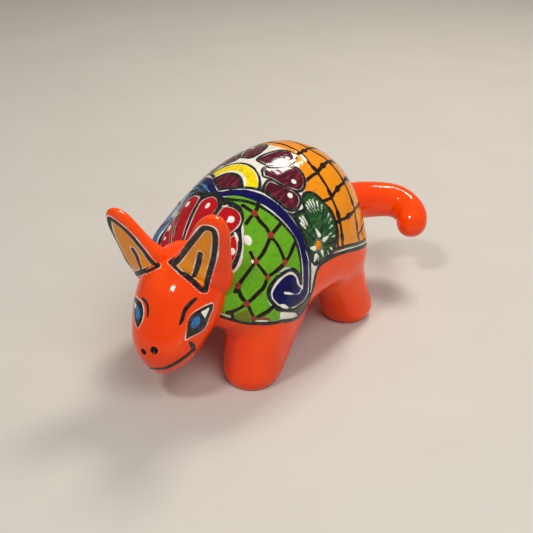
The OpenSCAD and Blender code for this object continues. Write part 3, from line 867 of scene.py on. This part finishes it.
def enamelled(tree, under, names, place):
    """Lays each enamel over the one before where its field is negative. A slow noise bends every edge
    alike, as a hand does, and a streaky one thins the colour along the brush."""
    bend = add(tree, "MapRange", {0: noise(tree, place, 7, 1), 3: -HAND_BEND, 4: HAND_BEND}).outputs[0]
    ragged = add(tree, "MapRange", {0: noise(tree, place, 1.1, 2), 3: -RAGGED, 4: RAGGED}).outputs[0]
    wander = add(tree, "Math", {0: bend, 1: ragged}, operation="ADD").outputs[0]
    stretched = add(tree, "Mapping", {0: place, 3: (1.0, 0.28, 1.0)}).outputs[0]
    streak = add(tree, "MapRange", {0: noise(tree, stretched, 1.3, 3), 1: 0.5, 2: 0.72}).outputs[0]
    colour = under
    for name in names:
        field = add(tree, "Attribute", attribute_name=name).outputs["Fac"]
        bent = add(tree, "Math", {0: field, 1: wander}, operation="ADD").outputs[0]
        cover = add(tree, "MapRange", {0: bent, 1: EDGE_SOFT, 2: -EDGE_SOFT}).outputs[0]
        main, thin = ENAMELS[name]
        shade = add(tree, "Mix", {0: streak, 6: linear(main), 7: linear(thin)},
                    data_type="RGBA").outputs[2]
        colour = add(tree, "Mix", {0: cover, 6: colour, 7: shade}, data_type="RGBA").outputs[2]
    return colour


def orange_body(tree, place):
    """Orange enamel: dipped on thickly, so it is even, a little redder where it runs thin."""
    slow = add(tree, "MapRange", {0: noise(tree, place, 26, 2), 1: 0.35, 2: 0.7}).outputs[0]
    return add(tree, "Mix", {0: slow, 6: linear("#FF4C00"), 7: linear("#F73E00")},
               data_type="RGBA").outputs[2]


def glaze_ripple(tree, place, strength):
    """The faint unevenness of fired glaze: ripples about 5 mm and 1.2 mm across."""
    wide = add(tree, "Bump", {"Strength": strength, "Distance": 0.0012,
                              "Height": noise(tree, place, 6, 1)})
    return add(tree, "Bump", {"Strength": strength * 0.5, "Distance": 0.0003,
                              "Height": noise(tree, place, 1.2, 1),
                              "Normal": wide.outputs[0]}).outputs[0]


def bare_clay_and_shade_below(tree, colour, field_name, hexed):
    """Lays a flat colour where the named field is negative: bare clay on the feet, and painted shade in the
    vent's dip.
    """
    field = add(tree, "Attribute", attribute_name=field_name).outputs["Fac"]
    cover = add(tree, "MapRange", {0: field, 1: 0.1, 2: -0.1}).outputs[0]
    return add(tree, "Mix", {0: cover, 6: colour, 7: linear(hexed)}, data_type="RGBA").outputs[2]


def painted_material():
    """Majolica: coloured enamels brushed between charcoal lines on glazed clay, over orange below."""
    material, tree = new_material("painted_majolica_glaze")
    place = add(tree, "TexCoord").outputs["Object"]
    colour = enamelled(tree, orange_body(tree, place), SHELL_PAINT, place)
    # The vent's dip is coloured near black: painted shade standing for the dark inside of a hole.
    colour = bare_clay_and_shade_below(tree, colour, "vent", "#2A120A")
    colour = bare_clay_and_shade_below(tree, colour, "foot", "#A9714E")
    glaze(tree, colour, glaze_ripple(tree, place, 0.25), 0.09)
    return material


def face_material():
    """Orange enamel with the face and ears painted on it under the same clear glaze."""
    material, tree = new_material("painted_orange_glaze")
    place = add(tree, "TexCoord").outputs["Object"]
    glaze(tree, enamelled(tree, orange_body(tree, place), FACE_PAINT, place),
          glaze_ripple(tree, place, 0.2), 0.08)
    return material


def orange_material():
    """Plain orange enamel under clear glaze."""
    material, tree = new_material("orange_glaze")
    place = add(tree, "TexCoord").outputs["Object"]
    glaze(tree, orange_body(tree, place), glaze_ripple(tree, place, 0.25), 0.08)
    return material


# ---- pieces ----


def shell_rows(count, columns):
    """y and lift on a grid whose rows crowd towards both ends of the shell, where it rounds off."""
    turn = np.linspace(-90, 90, count + 2)[1:-1]
    along = spow(np.sin(np.radians(turn)), 2 / END_POWER)
    y = CROWN + along * np.where(along < 0, FORE, REAR)
    return np.meshgrid(y, np.linspace(-90, 90, columns), indexing="ij")


def lifted(rings, relief):
    """A tube's rings moved out along their normals by the height of the enamel on them."""
    return rings + grid_normals(rings, True) * relief.reshape(rings.shape[:2] + (1,))


def shell_grid():
    """The left half of the shell on a grid of rows along it and lifts round it, with its legs melted on.
    Gives its points, their y and lift on the chart, and their normals."""
    rings = int(round(FORE + REAR) * 1.18 / MESH)
    columns = int(round(1.08 * (RISE + DROP) / MESH * 1.6))
    y, lift = shell_rows(rings, columns)
    points = shell_point(y, lift)
    normals = grid_normals(points, False)
    normals[:, 0] = unit(normals[:, 0] * [0, 1, 1])
    normals[:, -1] = unit(normals[:, -1] * [0, 1, 1])

    def legs_gap(at):
        """Distance outside the nearer of the two legs."""
        return np.minimum(leg_gap(at, FRONT_LEG), leg_gap(at, REAR_LEG))

    near = (legs_gap(points) < 12) & (lift < 60)
    moved = points.copy()
    moved[near] = melt(points[near], normals[near], shell_gap, legs_gap, 7)
    y = np.where(near, moved[..., 1], y)
    lift[near] = lift_of(moved[near])
    return moved, y, lift, grid_normals(moved, False)


def make_shell(side, grid, fields, relief, material, node):
    """One half of the shell: painted outer surface, plain inner wall and the edge where the halves meet."""
    points, _, _, normals = grid
    outer = points + normals * relief.reshape(points.shape[:2] + (1,))
    outer[:, [0, -1], 0] = 0
    count, columns = outer.shape[:2]
    inner_columns = 13
    inner = shell_point(*shell_rows(count, inner_columns), WALL)
    inner[:, [0, -1], 0] = 0
    ends = [shell_point(np.array(e), np.array(0.0), w) for w in (0, WALL) for e in (COLLAR, CROWN + REAR)]
    size, inner_start = count * columns, count * columns + 2
    all_points = np.concatenate([outer.reshape(-1, 3), ends[:2], inner.reshape(-1, 3), ends[2:]])
    inner_tips = inner_start + count * inner_columns
    belly, spine = np.arange(count) * columns, np.arange(count) * columns + columns - 1
    belly_in = inner_start + np.arange(count) * inner_columns
    spine_in = belly_in + inner_columns - 1

    def strip(a, b):
        """Quads between two rows of point numbers."""
        return np.stack([a[:-1], a[1:], b[1:], b[:-1]], -1)

    row = np.arange(columns)
    row_in = inner_start + np.arange(inner_columns)
    quads = np.concatenate([
        ring_faces(count, columns, False), ring_faces(count, inner_columns, False, inner_start)[:, ::-1],
        strip(belly, belly_in), strip(spine_in, spine),
        [[size, spine[0], spine_in[0], inner_tips], [belly[0], size, inner_tips, belly_in[0]],
         [spine[-1], size + 1, inner_tips + 1, spine_in[-1]],
         [size + 1, belly[-1], belly_in[-1], inner_tips + 1]]])
    triangles = np.concatenate([fan(row, size, True), fan(row + belly[-1], size + 1),
                                fan(row_in, inner_tips),
                                fan(row_in + belly_in[-1] - inner_start, inner_tips + 1, True)])
    rim = np.zeros(len(all_points), bool)
    rim[np.concatenate([belly, spine, [size, size + 1], belly_in, spine_in,
                        inner_tips + np.arange(2)])] = True
    all_points[:, 0] *= side
    if side < 0:
        quads, triangles = quads[:, ::-1], triangles[:, ::-1]
    make_piece(node + "_glazed", all_points, quads, triangles, fields, material, node,
               rim)


def leg_grid(stations):
    """A left leg: level superellipse sections from its foot up into the shell, melted onto it."""
    heights = [station[0] for station in stations]
    z = np.concatenate([[0, 0.25, 0.6, 1.0], np.arange(1.4, heights[-1], MESH * 1.1)])
    at = curve(heights, [station[1:] for station in stations], z)
    columns = 216
    turn = np.radians(np.arange(columns) * 360 / columns)
    c, s = spow(np.cos(turn), 2 / LEG_POWER), spow(np.sin(turn), 2 / LEG_POWER)
    rings = np.stack([at[:, 0:1] + at[:, 2:3] * c,
                      at[:, 1:2] + np.where(s < 0, at[:, 3:4], at[:, 4:5]) * s,
                      z[:, None] + 0 * c], -1)
    way = unit((rings - np.stack([at[:, 0], at[:, 1], z], -1)[:, None]) * [1, 1, 0])

    def own(points):
        """Distance outside this leg."""
        return leg_gap(points, stations)

    near = (np.abs(shell_gap(rings)) < 12) & (rings[..., 2] > 6)
    rings[near] = melt(rings[near], way[near], own, shell_gap, 7)
    return rings


def make_leg(side, rings, fields, relief, material, node):
    """One leg, with the paint that runs down onto it from the shell."""
    rings = lifted(rings, relief)
    rings[0, :, 2] = 0
    rings = rings * [side, 1, 1]
    make_tube_piece(node, rings, rings[0].mean(0), rings[-1].mean(0), fields, material)


def tube_t(close_step, count):
    """Positions along a tube that crowd towards its closed end as the end rounds off."""
    return 1 - (1 - np.linspace(0, 1, count + 1)[:-1]) ** close_step


def make_head(material):
    """The head: a tube that narrows to the snout, with paint and pierced nostrils."""
    t, turn = np.meshgrid(tube_t(1.6, 170), np.arange(-180, 180, 1.5), indexing="ij")
    rings = head_point(t, turn)
    fields, relief = paint_head(Chart(t, turn, head_point))
    rings = lifted(rings, relief)
    make_tube_piece("head", rings, rings[0].mean(0), np.array(HEAD_LINE[-1][:3], float), fields, material)


def make_ear(ear, node, painter, material):
    """An ear, melted onto the head at its root."""
    t, turn = np.meshgrid(tube_t(1.5, 120), np.arange(0, 360, 2.4), indexing="ij")
    rings = ear_rings(ear, t, turn)
    axis, out, across, length = ear_frame(ear)
    way = unit(rings - (np.array(ear[0], float) + (t * length)[..., None] * axis))
    gap = head_gap(rings.reshape(-1, 3)).reshape(t.shape)
    near = gap < 8
    rise = 1.6 * ease(7, 0, gap)
    rings = np.where(near[..., None], rings + way * rise[..., None], rings)
    offset = rings - np.array(ear[0], float)
    fields, relief = painter(Chart((offset * across).sum(-1), (offset * axis).sum(-1), flat_place),
                             (offset * out).sum(-1).ravel())
    rings = lifted(rings, relief)
    make_tube_piece(node, rings, np.array(ear[0], float), np.array(ear[1], float), fields, material)


def make_tail(material):
    """The tail: a round tube that curls to the animal's left, melted onto the rump."""
    t, turn = np.meshgrid(tube_t(1.25, 190), np.arange(0, 360, 3), indexing="ij")
    side = np.array([0, 0, 1.0])
    rings = tube_point(TAIL_LINE, side, TAIL_ROUND, t, turn)
    centre = tube_frame(TAIL_LINE, side, t[:, 0])[0]
    way = unit(rings - centre[:, None])
    flare = 1.8 * ease(6, 0, shell_gap(rings))
    rings = rings + way * flare[..., None]
    make_tube_piece("tail", rings, rings[0].mean(0), np.array(TAIL_LINE[-1][:3], float), {}, material)


# ---- stage ----


def make_stage():
    """A pale paper sheet that lies flat under the figure and bends up behind it in a quarter circle."""
    reach, depth = 2.4, 1.6
    u = np.linspace(-1, 1, 41)
    v = np.linspace(0, 1, 61)
    u, v = np.meshgrid(u, v, indexing="ij")
    rise = 0.6
    bend = np.clip((v - 0.55) / 0.2, 0, 1) * math.pi / 2
    run = np.minimum(v, 0.55) * depth * 2 + rise * np.sin(bend)
    height = rise * (1 - np.cos(bend)) + np.maximum(v - 0.75, 0) * depth * 2
    angle = math.radians(CAMERA_AZIMUTH)
    away = np.array([-math.sin(angle), math.cos(angle)])
    across = np.array([math.cos(angle), math.sin(angle)])
    place = (run - 0.9)[..., None] * away + (u * reach)[..., None] * across
    points = np.concatenate([place, height[..., None]], -1).reshape(-1, 3)
    mesh = bpy.data.meshes.new("pale_sheet")
    mesh.from_pydata(points.tolist(), [], ring_faces(41, 61, False).tolist())
    mesh.update()
    mesh.polygons.foreach_set("use_smooth", np.ones(len(mesh.polygons), bool))
    if mesh.polygons[0].normal.z < 0:
        mesh.flip_normals()
    sheet = bpy.data.objects.new("pale_sheet", mesh)
    bpy.context.scene.collection.objects.link(sheet)
    mesh.materials.append(paper_material())


def paper_material():
    """Pale seamless paper, pressed and uncoated: dull and even, with a faint mottle of its pulp."""
    material, tree = new_material("seamless_paper")
    place = add(tree, "TexCoord").outputs["Object"]
    mottle = add(tree, "Mix", {0: noise(tree, place, 60, 3), 6: linear("#C6C1B8"), 7: linear("#CFCAC1")},
                 data_type="RGBA").outputs[2]
    surface = add(tree, "BsdfPrincipled", {"Base Color": mottle})
    surface.inputs["Roughness"].default_value = 0.7
    add(tree, "OutputMaterial", {"Surface": surface.outputs[0]})
    return material


def add_light(name, azimuth, elevation, distance, size, watts, colour, gleams=True):
    """A soft panel facing the figure from there; without gleams the glaze doesn't mirror it."""
    lamp = bpy.data.lights.new(name, "AREA")
    lamp.shape = "RECTANGLE"
    lamp.size, lamp.size_y = size
    lamp.energy = watts
    lamp.color = linear(colour)[:3]
    panel = bpy.data.objects.new(name, lamp)
    bpy.context.scene.collection.objects.link(panel)
    a, e = math.radians(azimuth), math.radians(elevation)
    back = Vector((math.sin(a) * math.cos(e), -math.cos(a) * math.cos(e), math.sin(e)))
    panel.location = Vector((0, 0, 0.04)) + back * distance
    panel.visible_glossy = gleams
    panel.rotation_mode = "QUATERNION"
    panel.rotation_quaternion = back.to_track_quat("Z", "Y")


CAMERA_AZIMUTH, CAMERA_ELEVATION, CAMERA_DISTANCE = 38.7, 28.0, 0.4
CAMERA_TARGET = Vector(seat(np.array([1.5, 3.0, 29.8])))


def make_camera():
    """The camera stands at the animal's front left, above it, and looks at the middle of its body."""
    lens = bpy.data.cameras.new("camera")
    lens.lens = 60
    lens.sensor_width = 36
    camera = bpy.data.objects.new("camera", lens)
    bpy.context.scene.collection.objects.link(camera)
    a, e = math.radians(CAMERA_AZIMUTH), math.radians(CAMERA_ELEVATION)
    back = Vector((math.sin(a) * math.cos(e), -math.cos(a) * math.cos(e), math.sin(e)))
    camera.location = CAMERA_TARGET + back * CAMERA_DISTANCE
    camera.rotation_mode = "QUATERNION"
    camera.rotation_quaternion = back.to_track_quat("Z", "Y")
    lens.clip_start = 0.01
    bpy.context.scene.camera = camera


make_camera()
make_stage()
add_light("window_behind", 190, 52, 0.9, (0.26, 0.2), 4.2, "#FFF6EA")
add_light("soft_fill", 70, 50, 0.9, (0.5, 0.5), 3.4, "#FFFFFF", False)
add_light("window_front", 2, 56, 1.0, (0.16, 0.12), 3.0, "#FFFDF8")
world = bpy.data.worlds.new("pale_room")
world.use_nodes = True
world.node_tree.nodes["Background"].inputs["Color"].default_value = linear("#E9EBEE")
world.node_tree.nodes["Background"].inputs["Strength"].default_value = 0.3
bpy.context.scene.world = world
bpy.context.scene.view_settings.view_transform = "Standard"

ORANGE = orange_material()
PAINTED = painted_material()
grid = shell_grid()
shell_chart = Chart(grid[1], grid[2], shell_point)
for side, node in ((1, "body_left_half"), (-1, "body_right_half")):
    fields, relief = paint_shell(shell_chart, side, grid[0].reshape(-1, 3))
    make_shell(side, grid, fields, relief, PAINTED, node)
for name, stations in (("front", FRONT_LEG), ("rear", REAR_LEG)):
    rings = leg_grid(stations)
    chart = Chart(np.clip(rings[..., 1], COLLAR, CROWN + REAR), lift_of(rings), shell_point)
    for side, word in ((1, "left"), (-1, "right")):
        fields, relief = paint_shell(chart, side, rings.reshape(-1, 3))
        make_leg(side, rings, fields, relief, PAINTED, f"leg_{name}_{word}")
FACE = face_material()
make_head(FACE)
make_ear(EAR_LEFT, "ear_left", paint_left_ear, FACE)
make_ear(EAR_RIGHT, "ear_right", paint_right_ear, FACE)
make_tail(ORANGE)
